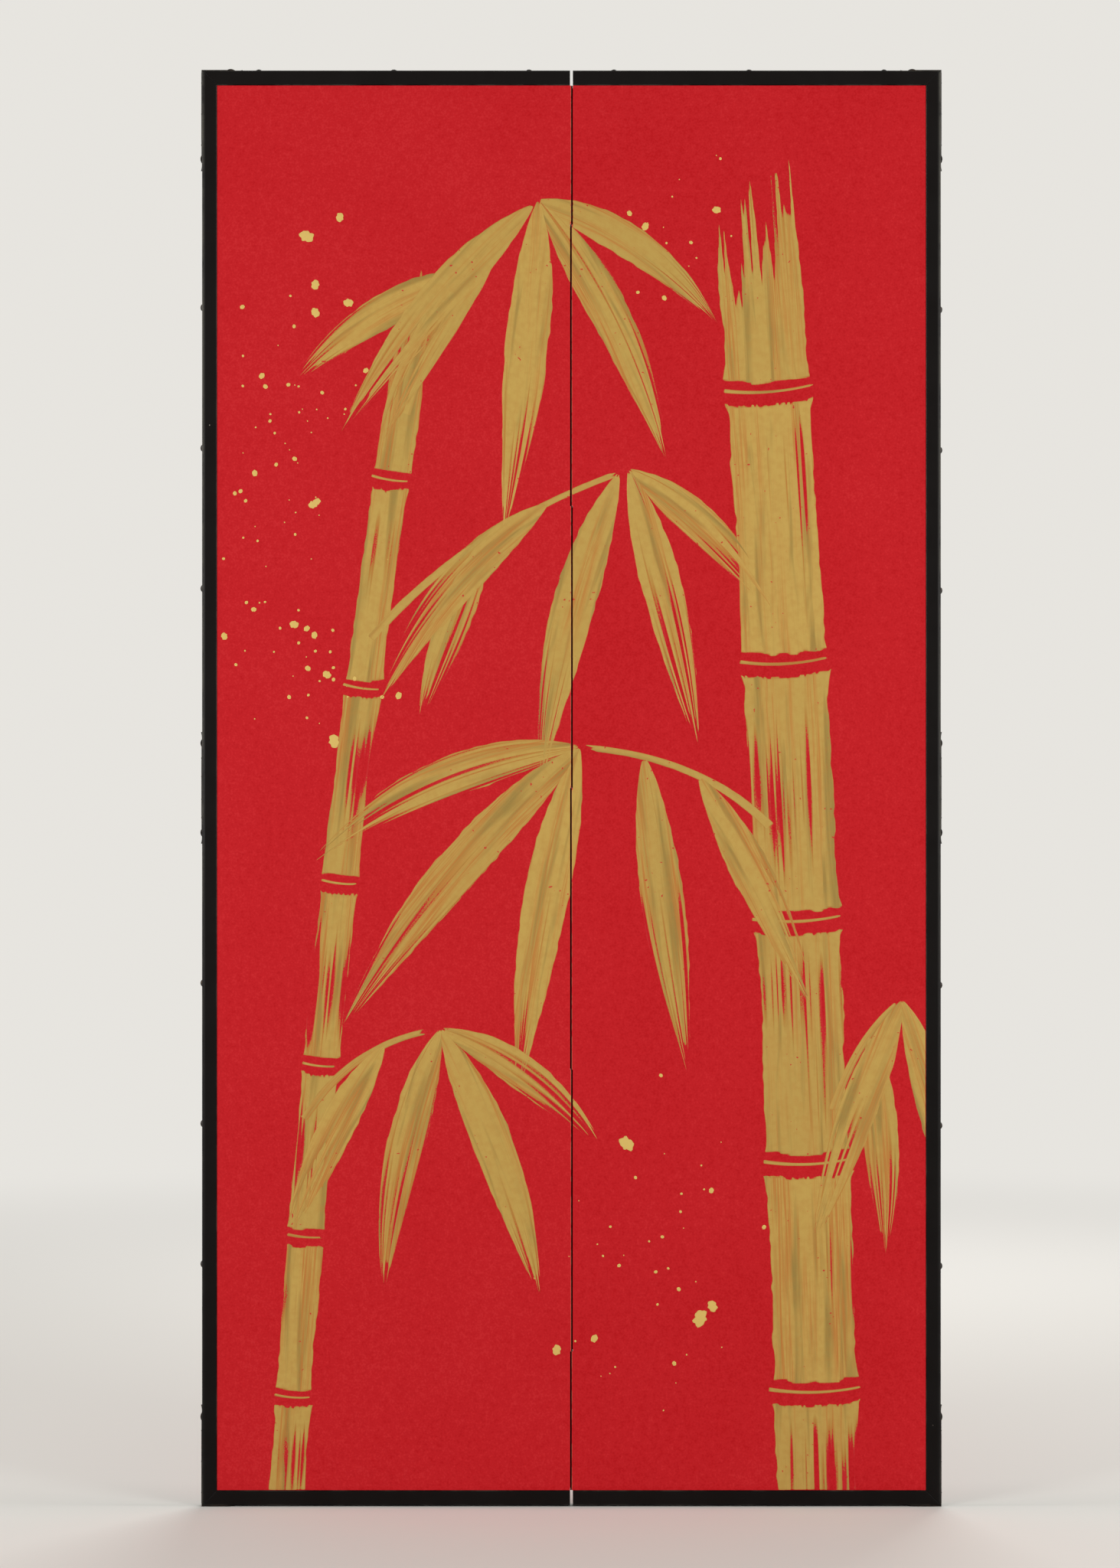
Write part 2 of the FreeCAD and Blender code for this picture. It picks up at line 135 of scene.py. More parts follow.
def dress(material, *endings):
    """Gives a material to the CAD pieces of both panels whose names are a side and one of these endings."""
    for side in panels:
        for ending in endings:
            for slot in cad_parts[f"{side}_{ending}"].material_slots:
                slot.material = material


early_wood = (0.60, 0.40, 0.22, 1)
late_wood = (0.38, 0.20, 0.09, 1)
ring_width = 0.0035
ring_waver = 6.0
fibres_across, fibres_along = 140.0, 3.0
waver_across, waver_deep, waver_along = 1.0, 0.35, 0.02


def cedar(name, along):
    """Planed softwood with its grain along one axis: bands of late wood wavering about straight lines."""
    material, place = new_material(name)
    fibre_scale = [fibres_across, fibres_across, fibres_across]
    fibre_scale[along] = fibres_along
    fibre = place.stretched(*fibre_scale).noise(4.0, 4.0)
    waver_scale = [waver_across, waver_deep, waver_across]
    waver_scale[along] = waver_along
    waver = place.stretched(*waver_scale).noise(9.0, 2.0)
    across = place.part(2 if along == 0 else 0)
    rings = across * (1 / ring_width) + waver * ring_waver
    band = rings.math("FRACT").between(0.45, 0.95)
    grain = band * 0.75 + fibre * 0.35
    coat(
        place,
        Base_Color=grain.between(0.1, 1.0).mix(early_wood, late_wood),
        Roughness=fibre.between(0.3, 0.7, 0.55, 0.75),
        Normal=bump(place, grain, 0.0002),
    )
    return material


upright_cedar = cedar("upright_cedar", along=2)
level_cedar = cedar("level_cedar", along=0)
dress(upright_cedar, "core_outer_stile", "core_hinge_stile", "lattice_verticals")
dress(level_cedar, "core_top_rail", "core_bottom_rail", "lattice_horizontals", "corner_gussets")


# Lining paper
# Layers of long-fibred paper are pasted over the core on both sides, under the face and back papers.
# The paper is undyed, a warm cream with darker fibres, and a little uneven where sheets overlap.

cream = (0.66, 0.56, 0.41, 1)
fibre_brown = (0.42, 0.31, 0.18, 1)

lining_paper, place = new_material("lining_paper")
cloud = place.noise(14.0, 3.0)
long_fibres = place.stretched(1.0, 1.0, 0.12).noise(420.0, 3.0)
cross_fibres = place.stretched(0.12, 1.0, 1.0).noise(420.0, 3.0)
fibres = long_fibres.math("MAXIMUM", cross_fibres)
coat(
    place,
    Base_Color=(fibres.between(0.62, 0.8) * 0.6 + cloud * 0.25).mix(cream, fibre_brown),
    Roughness=cloud.between(0.3, 0.7, 0.8, 0.95),
    Normal=bump(place, fibres, 0.0001),
)
dress(lining_paper, "front_underlay", "back_underlay")


# Red face paper
# One sheet of dyed red paper covers the front of each panel, and turns over at the hinge edge as a lip.
# It is matte and faintly mottled by its fibres, and the lips are rubbed pale where the panels meet.

red_dye = (0.520, 0.0085, 0.0135, 1)
red_deep = (0.475, 0.0030, 0.0070, 1)
red_light = (0.565, 0.0170, 0.0220, 1)
red_wear = 0.85
rubbed_pale = (0.60, 0.20, 0.12, 1)
lip_outer = 0.0004
lip_inner = 0.0011
lap_width = 0.006
paper_low, paper_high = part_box("right_front_sheet")
paper_height = paper_high.z - paper_low.z
panel_shift = 0.3


def dyed_paper(name, dye, deep, light, wear, sheet_height):
    """Matte dyed paper: pulp, blotches and wide clouds lighten or deepen the dye, and wear pales the lips.

    Sheets lie in rows of a height, and are numbered apart on the two panels. Each differs a little in tone,
    and is thicker where it laps the next.
    """
    material, place = new_material(name)
    x, z = place.part(0), place.part(2)
    pulp = place.noise(400.0, 2.0)
    blotches = place.noise(120.0, 2.0)
    clouds = place.noise(7.0, 3.0)
    rows = (z - paper_low.z) * (1 / sheet_height)
    sheet_number = rows.math("FLOOR") + x.math("SIGN") * panel_shift
    sheet_tone = place.node("TexWhiteNoise", {"W": sheet_number}, noise_dimensions="1D")
    lap_share = lap_width / sheet_height
    lap = rows.math("FRACT").between(lap_share, 0.5 * lap_share)
    mottle = pulp * 0.5 + blotches * 0.3 + clouds * 0.2 + (sheet_tone - 0.5) * 0.06 - lap * 0.05
    tone = mottle.between(0.36, 0.5).mix(deep, dye)
    tone = mottle.between(0.5, 0.64).mix(tone, light)
    rubbing = place.stretched(1.0, 1.0, 0.25).noise(700.0, 3.0)
    patches = place.stretched(0.0, 0.0, 1.0).noise(16.0, 2.0)
    on_lip = x.math("ABSOLUTE").between(lip_outer, lip_inner, 1.0, 0.0)
    rubbed = on_lip * (rubbing + patches * 0.8).between(0.75, 0.95)
    coat(
        place,
        Base_Color=(rubbed * wear).mix(tone, rubbed_pale),
        Roughness=mottle.between(0.36, 0.64, 0.62, 0.82),
        Normal=bump(place, blotches * 0.5 + pulp * 0.5 + lap * 1.5, 0.00012, 0.7),
        Specular_IOR_Level=0.15,
    )
    return material


red_paper = dyed_paper("red_paper", red_dye, red_deep, red_light, red_wear, paper_height)
dress(red_paper, "front_sheet")


# Gold brushwork
# Bamboo is brushed over both panels in gold paint: each length of culm, joint, twig and leaf is one pull.
# A pull leaves a thin film, streaked by bristles, ragged at its edges and broken where the brush runs dry.

brush_random = np.random.default_rng(11)
row_step = 0.003
hair_step = 0.0009
overreach = 1.15
curve_samples = 200

# The noises over a pull, each as the length and the width of its cells, and those of its two ends.
edge_waves = (0.06, 0.035)
edge_frays = (0.010, 0.010)
tufts = (0.45, 0.009)
bristles = (0.22, 0.0021)
dry_patches = (0.10, 0.035)
start_tuft = 0.012
end_tuft = 0.016
end_bristle = 0.0026

ragged_depth = 0.006
ragged_share = 0.2
dry_share = 0.62
hair_depth = 0.005
end_fade = 0.012
least_fade = 0.2


def soft_noise(rows, columns, row_cells, column_cells):
    """Noise from 0 to 1 on a grid: random values at the cells' corners, eased between by 3f^2 - 2f^3."""
    corners = brush_random.random((int(row_cells) + 2, int(column_cells) + 2))
    u, v = np.linspace(0, row_cells, rows), np.linspace(0, column_cells, columns)
    i, j = u.astype(int), v.astype(int)
    down = ((u - i) ** 2 * (3 - 2 * (u - i)))[:, None]
    over = (v - j) ** 2 * (3 - 2 * (v - j))
    near = corners[i][:, j] * (1 - over) + corners[i][:, j + 1] * over
    far = corners[i + 1][:, j] * (1 - over) + corners[i + 1][:, j + 1] * over
    return near * (1 - down) + far * down


def bend(t, start, middle, finish):
    """Points of the curve (1-t)^2 start + 2t(1-t) middle + t^2 finish, and its unit tangents."""
    start, middle, finish = np.array(start), np.array(middle), np.array(finish)
    points = (1 - t) ** 2 * start + 2 * t * (1 - t) * middle + t ** 2 * finish
    slope = (1 - t) * (middle - start) + t * (finish - middle)
    return points, slope / np.linalg.norm(slope, axis=-1, keepdims=True)


pulls = {"culms": [], "leaves": []}


def pull(kind, layer, route, half_width, wetness, uneven_start, uneven_end, arch=0.0):
    """Adds one pull of a brush along a curve: a grid of (x, z, along, across, hairs) and its depth of paint.

    A point is the curve's point at t plus its side vector times s times the half width at t. The depth is
    the least of these distances: to the ragged edge, to where each hair starts and where it runs out, and
    into a gap between hairs, which is streak noise less the dryness there.
    """
    fine = np.linspace(0, 1, curve_samples)[:, None]
    length = np.linalg.norm(np.diff(bend(fine, *route)[0], axis=0), axis=1).sum()
    width = 2 * half_width(fine).max()
    rows = int(length / row_step) + 2
    columns = int(overreach * width / hair_step) + 2
    t = np.linspace(0, 1, rows)[:, None]
    s = np.linspace(-overreach, overreach, columns)[None, :]
    points, tangents = bend(t, *route)
    sideways = tangents[:, None, ::-1] * (-1, 1)
    half = half_width(t)
    across = half * s
    place = points[:, None] + sideways * across[..., None]

    def noise(long, wide, rows=rows):
        return soft_noise(rows, columns, length / long, width / wide)

    ragged = 0.6 * noise(*edge_waves) + 0.4 * noise(*edge_frays)
    edge = (1 - abs(s)) * half - np.minimum(ragged_depth, ragged_share * half) * (ragged - 0.25)
    hairs = 0.45 * noise(*tufts) + 0.55 * noise(*bristles)
    dryness = 1 - wetness(t, s) + 0.3 * (noise(*dry_patches) - 0.5)
    gaps = (hairs - dry_share * dryness) * hair_depth
    first = t * length - uneven_start * noise(length, start_tuft, 1) - arch * s ** 2
    uneven = 0.5 * noise(length, end_bristle, 1) + 0.5 * noise(length, end_tuft, 1)
    last = (1 - t) * length - uneven_end * uneven - arch * (1 - s ** 2)
    last = last * np.clip(end_fade / uneven_end, least_fade, 1)
    depth = np.minimum.reduce([edge, gaps, first, last])
    grid = np.stack([place[..., 0], place[..., 1], t * length + 0 * s, across, hairs], axis=-1)
    pulls[kind].append((grid, depth, layer))


def middle_of(route, low, high):
    """The part of a curve between two of its parameters, as a curve of its own.

    Its middle point is twice the curve's point half way, less the mean of its ends.
    """
    t = np.array([low, (low + high) / 2, high])[:, None]
    start, centre, finish = bend(t, *route)[0]
    return start, 2 * centre - (start + finish) / 2, finish


def even_width(half, tip_share):
    """Half width that falls evenly to a share of itself."""
    return lambda t: half * (1 - (1 - tip_share) * t)


line_wet = 1.1


def drying(loss):
    """Wetness of a thin line, which falls evenly by a loss."""
    return lambda t, s: line_wet - loss * t


culm_waist = 0.96
culm_flare = 0.14
flare_reach = 0.03
leaf_swell = 0.85
leaf_taper = 1.2
leaf_stalk = 0.0012


def culm_width(half):
    """Half width of a length of culm: its waist, and a flare that dies away exponentially from both ends."""
    return lambda t: half * (
        culm_waist + culm_flare * np.exp(-t / flare_reach) + culm_flare * np.exp((t - 1) / flare_reach)
    )


def leaf_width(half):
    """Half width of a leaf: t^swell (1-t)^taper, scaled to its half width at the widest, plus its stalk."""
    widest = leaf_swell / (leaf_swell + leaf_taper)
    return lambda t: half * (t / widest) ** leaf_swell * ((1 - t) / (1 - widest)) ** leaf_taper + leaf_stalk


def towards(side, s):
    """How far s lies towards one side of a pull, from 0 at its middle to 1 at its edge, to the power 1.5."""
    return np.clip(side * s, 0, 1) ** 1.5


culm_layer, line_layer, leaf_layer = 0, 1, 2
culm_start, culm_end = 0.005, 0.007
culm_arch = 0.1
culm_wet, culm_wet_ends = 0.95, 0.6
wet_after_start, wet_before_end = 0.08, 0.10
culm_dryness = (0.2, 0.6)
driest_place = (0.45, 0.75)
dry_spread = 0.3
culm_dry_edge = 0.45
last_wet, last_loss, last_dry_edge = 1.15, 0.9, 0.2
joint_gap, joint_gap_share = 0.0045, 0.06
joint_half, joint_half_share = 0.0016, 0.02
joint_start, joint_end = 0.004, 0.012
joint_rise, joint_sag = 0.09, 0.12
joint_overhang = (1.02, 1.14)
joint_loss = 0.3
line_taper = 0.65


def paint_culm(route, half, lengths, growth, last_end):
    """A culm along a curve, in lengths that grow by a ratio, with a curved line in the gap at each joint.

    A length is wet at its ends, which exponentials give, and driest about one place, which a bell curve
    gives. The last length dries all along its way instead, as t^1.2. Each dries more towards one side.
    """
    marks = np.concatenate([[0], np.cumsum(growth ** np.arange(lengths))])
    marks /= marks[-1]
    gap = (joint_gap + joint_gap_share * half) / np.linalg.norm(np.subtract(route[2], route[0]))
    for number in range(lengths):
        dry_side = brush_random.choice([-1, 1])
        dryness = brush_random.uniform(*culm_dryness)
        driest = brush_random.uniform(*driest_place)
        is_last = number == lengths - 1

        def wetness(t, s):
            edge_dry = towards(dry_side, s)
            if is_last:
                return last_wet - last_loss * t ** 1.2 - last_dry_edge * edge_dry
            ends = np.exp(-t / wet_after_start) + np.exp((t - 1) / wet_before_end)
            bell = np.exp(-((t - driest) / dry_spread) ** 2)
            return culm_wet + culm_wet_ends * ends - (dryness + culm_dry_edge * edge_dry) * bell

        length_route = middle_of(route, marks[number] + gap, marks[number + 1] - gap)
        uneven_end = last_end if is_last else culm_end
        arch = culm_arch * half
        pull("culms", culm_layer, length_route, culm_width(half), wetness, culm_start, uneven_end, arch)
    for mark in marks[1:-1]:
        (centre,), (up,) = bend(np.array([[mark]]), *route)
        sideways = up[::-1] * (-1, 1) * half * brush_random.uniform(*joint_overhang)
        raised = up * joint_rise * half
        joint = (centre + sideways + raised, centre - up * joint_sag * half, centre - sideways + raised)
        joint_width = even_width(joint_half + joint_half_share * half, line_taper)
        pull("culms", line_layer, joint, joint_width, drying(joint_loss), joint_start, joint_end)


leaf_half, leaf_half_share = 0.012, 0.036
leaf_start, leaf_end = 0.004, 0.07
leaf_droop = 0.16
leaf_sway = 0.04
leaf_dryness = (0.0, 0.4)
leaf_wet, leaf_loss, leaf_dry_edge = 1.2, 0.72, 0.35


def paint_leaf(base, degrees, length, layer):
    """A leaf from its base at an angle from straight down, bowed so that its tip droops.

    It bows aside by a droop times the angle's sine, and a random sway. It dries towards its tip, as t^1.5,
    and more towards one side.
    """
    turn = math.radians(degrees)
    out = np.array([math.sin(turn), -math.cos(turn)])
    bow = (leaf_droop * math.sin(turn) + brush_random.uniform(-leaf_sway, leaf_sway)) * out[::-1] * (-1, 1)
    dryness = brush_random.uniform(*leaf_dryness)
    dry_side = brush_random.choice([-1, 1])

    def wetness(t, s):
        edge_dry = towards(dry_side, s)
        return leaf_wet - dryness - leaf_loss * t ** 1.5 - leaf_dry_edge * edge_dry * t

    route = (base, base + (out * 0.5 + bow) * length, base + out * length)
    half_width = leaf_width(leaf_half + leaf_half_share * length)
    pull("leaves", layer, route, half_width, wetness, leaf_start, leaf_end)


broad_culm = ((0.306, -0.12), (0.282, 0.90), (0.214, 1.715))
slim_culm = ((-0.352, -0.05), (-0.310, 0.72), (-0.178, 1.53))
paint_culm(broad_culm, half=0.054, lengths=6, growth=1.10, last_end=0.30)
paint_culm(slim_culm, half=0.024, lengths=7, growth=1.06, last_end=0.16)

# A branch is a twig's curve and its leaves: share along the twig, degrees from straight down, and length.
branches = (
    (((-0.203, 1.335), (-0.150, 1.50), (-0.040, 1.600)),
     ((0.60, -58, 0.27), (0.78, -30, 0.31), (0.97, -40, 0.37),
      (1.0, -6, 0.42), (1.0, 26, 0.36), (1.0, 55, 0.27))),
    (((-0.248, 1.060), (-0.130, 1.20), (0.070, 1.270)),
     ((0.52, -20, 0.25), (0.74, -40, 0.33), (0.97, -14, 0.40), (1.0, 14, 0.36), (1.0, 44, 0.27))),
    (((0.246, 0.830), (0.160, 0.92), (0.010, 0.930)),
     ((0.45, 26, 0.33), (0.72, 8, 0.40), (1.0, -66, 0.37), (1.0, -40, 0.46), (1.0, -10, 0.44))),
    (((-0.330, 0.470), (-0.270, 0.57), (-0.160, 0.585)),
     ((0.66, -26, 0.28), (1.0, -12, 0.34), (1.0, 20, 0.36), (1.0, 52, 0.26))),
    (((0.318, 0.480), (0.350, 0.58), (0.405, 0.620)),
     ((0.6, 4, 0.28), (1.0, -20, 0.33), (1.0, 14, 0.36))),
)
twig_half = 0.006
twig_start, twig_end = 0.006, 0.03
twig_loss = 0.35
leaf_layers = 4
for twig, leaves in branches:
    twig_width = even_width(twig_half, line_taper)
    pull("leaves", line_layer, twig, twig_width, drying(twig_loss), twig_start, twig_end)
    for number, (mark, degrees, length) in enumerate(leaves):
        (base,), _ = bend(np.array([[mark]]), *twig)
        paint_leaf(base, degrees, length, leaf_layer + number % leaf_layers)


def grid_faces(rows, columns):
    """Corner numbers of the cells of a grid, one row of four for each cell."""
    number = np.arange(rows * columns).reshape(rows, columns)
    corners = [number[:-1, :-1], number[1:, :-1], number[1:, 1:], number[:-1, 1:]]
    return np.stack(corners, axis=-1).reshape(-1, 4)


def contour(grid, depth):
    """The points and faces of a grid where a depth is above zero, cut along the line where it is zero.

    A face goes round its cell's four corners. It keeps a corner that is above zero, and on a side whose ends
    differ it adds the point where the depth, taken as even along the side, is zero. It has up to 8 corners,
    and those left out are -1.
    """
    level = depth.ravel()
    cells = grid_faces(*depth.shape)
    cells = cells[(level[cells] > 0).any(axis=1)]
    shown = level[cells] > 0
    differs = shown != np.roll(shown, -1, axis=1)
    sides = np.sort(np.stack([cells, np.roll(cells, -1, axis=1)], axis=-1)[differs], axis=-1)
    sides, number = np.unique(sides, axis=0, return_inverse=True)
    one, two = sides.T
    flat = grid.reshape(level.size, -1)
    share = level[one] / (level[one] - level[two])
    points = np.concatenate([flat, flat[one] + (flat[two] - flat[one]) * share[:, None]])
    cuts = np.full(cells.shape, -1)
    cuts[differs] = level.size + number.ravel()
    return points, np.stack([np.where(shown, cells, -1), cuts], axis=-1).reshape(-1, 8)


def new_piece(name, points, corners, material, **measures):
    """An object at the origin. A row of corners, less its -1s, is a face. Measures go with the points."""
    used = corners >= 0
    sizes = used.sum(axis=1)
    needed, numbers = np.unique(corners[used], return_inverse=True)
    mesh = bpy.data.meshes.new(name)
    mesh.vertices.add(len(needed))
    mesh.vertices.foreach_set("co", points[needed].ravel())
    mesh.loops.add(len(numbers))
    mesh.loops.foreach_set("vertex_index", numbers.ravel())
    mesh.polygons.add(len(sizes))
    mesh.polygons.foreach_set("loop_start", np.cumsum(sizes) - sizes)
    mesh.polygons.foreach_set("use_smooth", np.ones(len(sizes), dtype=bool))
    mesh.update(calc_edges=True)
    for key, values in measures.items():
        kind, field = ("FLOAT", "value") if values.ndim == 1 else ("FLOAT_VECTOR", "vector")
        mesh.attributes.new(key, kind, "POINT").data.foreach_set(field, values[needed].ravel())
    mesh.materials.append(material)
    piece = bpy.data.objects.new(name, mesh)
    bpy.context.scene.collection.objects.link(piece)
    return piece


gold_ramp = (
    (0.00, (0.440, 0.045, 0.014)),
    (0.25, (0.455, 0.120, 0.020)),
    (0.50, (0.450, 0.205, 0.034)),
    (0.75, (0.472, 0.282, 0.060)),
    (1.00, (0.515, 0.333, 0.076)),
)
gold_olive = (0.300, 0.195, 0.042, 1)
gold_brown = (0.430, 0.215, 0.040, 1)
gold_thin = (0.470, 0.165, 0.028, 1)
gold_thick = (0.660, 0.460, 0.124, 1)

# Gold pieces carry their film, which is 1 where it is full, and as brush the metres along and across a pull
# and the pull's number.
gold_paint, place = new_material("gold_paint")
film = place.node("Attribute", {}, output="Fac", attribute_name="film")
brush = place.node("Attribute", {}, output="Vector", attribute_name="brush")
streaks = brush.stretched(9.0, 420.0, 1.0).noise(1.0, 4.0, 0.6, 0.4)
smears = brush.stretched(5.0, 70.0, 1.0).noise(1.0, 3.0, 0.5, 0.4)
thin = brush.stretched(2.2, 38.0, 1.0).noise(1.0, 2.0, 0.5, 0.4)
grain = place.noise(620.0, 3.0)
wrinkles = place.noise(130.0, 3.0)
clumps = place.noise(24.0, 2.0)
pores = place.noise(230.0, 0.0) + clumps * 0.45
cover = film + (streaks - 0.5) * 0.6 + (grain - 0.5) * 0.3
tone = cover.node("ValToRGB", {"Fac": cover}, stops=gold_ramp)
load = brush.node("TexWhiteNoise", {"W": brush.part(2)}, noise_dimensions="1D")
tone = (load * 0.2).mix(tone, gold_olive)
tone = (smears.between(0.49, 0.70) * 0.95).mix(tone, gold_olive)
tone = (streaks.between(0.40, 0.62) * thin.between(0.47, 0.62) * 0.85).mix(tone, gold_thin)
tone = (wrinkles.between(0.36, 0.72) * 0.3).mix(tone, gold_brown)
tone = film.between(1.0, 1.2).mix(tone, gold_thick)
bare = (film + (grain - 0.5) * 0.9 + (streaks - 0.5) * 0.5).between(0.20, 0.36, 1.0, 0.0)
bare = bare.math("MAXIMUM", pores.between(1.06, 1.10) * 0.9)
coat(
    place,
    Base_Color=bare.mix(tone, red_dye),
    Metallic=0.15,
    Roughness=(streaks * 0.5 + grain * 0.5).between(0.35, 0.65, 0.48, 0.68),
    Normal=bump(place, streaks * 0.3 + wrinkles * 0.5 + grain * 0.2, 0.00025, 0.6),
    Specular_IOR_Level=0.3,
)

edge_reach = 0.0017
lip_reach = 0.0006
lip_strips = {"left": (1, 3, 5), "right": (2, 4, 6)}
frame_reach = 0.0004
film_full = 0.0011
film_lift = 0.00008
layer_lift = 0.00005
hair_lift = 0.00008


def lay_film(side, sign, kind):
    """The pulls of one kind on one panel: each contour lifted off the paper by its layer, hairs and depth.

    A film stops at the paper's edges. At the hinge that is the papered edge, or the lip beside each strip
    that starts on this panel's front, less a row of the grid at the lip's ends.
    """
    lips = [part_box(f"hinge_strip_{number}") for number in lip_strips[side]]
    points, corners, count = [], [], 0
    for number, (grid, depth, layer) in enumerate(pulls[kind]):
        x, z, hairs = grid[..., 0] * sign, grid[..., 1], grid[..., 4]
        hinge_reach = np.full_like(z, edge_reach)
        for low, high in lips:
            hinge_reach[(z > low.z + row_step) & (z < high.z - row_step)] = lip_reach
        from_sides = np.minimum(x - hinge_reach, paper_high.x - frame_reach - x)
        from_ends = np.minimum(z - paper_low.z, paper_high.z - z) - frame_reach
        shown = np.minimum(depth, np.minimum(from_sides, from_ends))
        if not (shown > 0).any():
            continue
        rise = np.clip(shown / film_full, -1, 1)
        lift = rise * (film_lift + layer_lift * layer + hair_lift * hairs)
        film = np.clip(depth / film_full, -1, 1)
        columns = [grid[..., 0], paper_low.y - lift, z, film, grid[..., 2], grid[..., 3], 0 * film + number]
        found, faces = contour(np.stack(columns, axis=-1), shown)
        points.append(found)
        corners.append(np.where(faces < 0, -1, faces + count))
        count += len(found)
    points, corners = np.concatenate(points), np.concatenate(corners)
    measures = {"film": points[:, 3], "brush": points[:, 4:]}
    piece = new_piece(f"{side}_gold_{kind}", points[:, :3], corners, gold_paint, **measures)
    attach(piece, f"{side}_panel")


for kind in pulls:
    for side, sign in panels.items():
        lay_film(side, sign, kind)


# Gold spatter
# Drops of the same gold paint were flung off the loaded brush, and lie in loose showers beside the strokes.
# Small drops dried round and domed. Large ones spread into uneven lobes with thin rims.

# Each shower is its middle, its spread to either side and up and down, and its number of drops.
showers = (
    ((-0.345, 1.30), (0.045, 0.17), 70),
    ((-0.300, 1.02), (0.050, 0.06), 26),
    ((0.080, 0.300), (0.060, 0.10), 44),
    ((0.120, 1.560), (0.035, 0.06), 18),
)
usual_drop = 0.0017
least_drop = 0.0007
greatest_drop = 0.0090
drop_variety = 0.75
drop_room = 1.6
least_lobes, added_lobes = 0.04, 0.16
drop_dome = 0.0003
drop_dome_share = 0.15
drop_rim = 0.00003
drop_thickness = 1.3
rim_thinning = 0.15
ring_shares = np.array([0.75, 1.0])
spokes = 24

middles = np.concatenate([
    np.array(middle) + brush_random.normal(size=(number, 2)) * spread
    for middle, spread, number in showers
])
radii = usual_drop * np.exp(drop_variety * brush_random.normal(size=len(middles)))
radii = np.clip(radii, least_drop, greatest_drop)
from_hinge = abs(middles[:, 0])
margin = np.minimum(from_hinge - edge_reach, paper_high.x - frame_reach - from_hinge)
fits = margin > drop_room * radii
middles, radii = middles[fits], radii[fits]


def drops(middles, radii):
    """Points and faces of drops: each is a middle point, and rings at shares of its radius.

    At a turn a the radius is multiplied by 1 + k cos(2a + p) + k cos(5a + q) / 2 + k cos(7a + r) / 2, where
    k grows with the drop, and the height falls with the share as 1 - share squared.
    """
    turn = np.arange(spokes) * 2 * math.pi / spokes
    unevenness = (least_lobes + added_lobes * radii / greatest_drop)[:, None]
    p, q, r = brush_random.uniform(0, 2 * math.pi, (3, len(radii), 1))
    lobes = np.cos(2 * turn + p) + np.cos(5 * turn + q) / 2 + np.cos(7 * turn + r) / 2
    reach = radii[:, None, None] * ring_shares[:, None] * (1 + unevenness * lobes)[:, None, :]
    x = middles[:, 0, None, None] + reach * np.cos(turn)
    z = middles[:, 1, None, None] + reach * np.sin(turn)
    height = np.minimum(drop_dome, drop_dome_share * radii)[:, None, None]
    dome = height * (1 - ring_shares ** 2)[:, None] + drop_rim
    rings = np.stack([x, paper_low.y - dome + 0 * x, z], axis=-1).reshape(len(radii), -1, 3)
    tops = np.stack([middles[:, 0], paper_low.y - dome.max(axis=(1, 2)) - drop_rim, middles[:, 1]], axis=-1)
    points = np.concatenate([tops[:, None], rings], axis=1)
    here, after = np.arange(spokes), (np.arange(spokes) + 1) % spokes
    fan = np.stack([0 * here, 1 + here, 1 + after, 0 * here - 1], axis=-1)
    inner = 1 + spokes * np.arange(len(ring_shares) - 1)[:, None]
    outer = inner + spokes
    bands = np.stack([inner + here, outer + here, outer + after, inner + after], axis=-1)
    faces = np.concatenate([fan, bands.reshape(-1, 4)])
    offsets = (points.shape[1] * np.arange(len(radii)))[:, None, None]
    return points, np.where(faces < 0, -1, faces + offsets).reshape(-1, 4)


ring_film = np.repeat(1.0 - rim_thinning * ring_shares ** 6, spokes)
drop_film = drop_thickness * np.concatenate([[1.0], ring_film])
for side, sign in panels.items():
    here = middles[:, 0] * sign > 0
    points, faces = drops(middles[here], radii[here])
    drop_brush = np.zeros_like(points)
    drop_brush[..., 2] = np.arange(len(points))[:, None]
    measures = {"film": np.tile(drop_film, len(points)), "brush": drop_brush.reshape(-1, 3)}
    piece = new_piece(f"{side}_gold_drops", points.reshape(-1, 3), faces, gold_paint, **measures)
    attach(piece, f"{side}_panel")


# Back paper
# The back of each panel is papered too, with six sheets of a darker red, each lapped over the one below.
# It is guessed: the photograph shows only the front.

back_dye = (0.330, 0.0080, 0.0110, 1)
back_deep = (0.260, 0.0030, 0.0060, 1)
back_light = (0.390, 0.0150, 0.0180, 1)
back_wear = 0.5
back_rows = 6

back_paper = dyed_paper("back_paper", back_dye, back_deep, back_light, back_wear, paper_height / back_rows)
dress(back_paper, "back_sheet")


# Paper hinges
# Strips of tough paper run through the slit from the front of one panel to the other's back, coloured
# near-black red as painted shade so that the deep slit reads dark.
# Their ends are pasted under the outer papers as flaps, and a strip of paper lines each panel's hinge edge.

hinge_shade_dark = (0.0220, 0.0022, 0.0014, 1)
hinge_shade_red = (0.0600, 0.0050, 0.0036, 1)

hinge_paper, place = new_material("hinge_paper")
creases = place.stretched(1.0, 1.0, 0.06).noise(500.0, 3.0)
dust = place.noise(60.0, 3.0)
coat(
    place,
    Base_Color=(creases * 0.5 + dust * 0.5).between(0.42, 0.66).mix(hinge_shade_dark, hinge_shade_red),
    Roughness=dust.between(0.3, 0.7, 0.8, 0.95),
    Normal=bump(place, creases, 0.0001),
)
# The edge paper on each hinge edge takes the same near-black paper, as painted shade on the slit's walls.
dress(hinge_paper, "front_hinge_flaps", "back_hinge_flaps", "edge_paper")
for node_name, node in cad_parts.items():
    if node_name.startswith("hinge_strip"):
        node.material_slots[0].material = hinge_paper
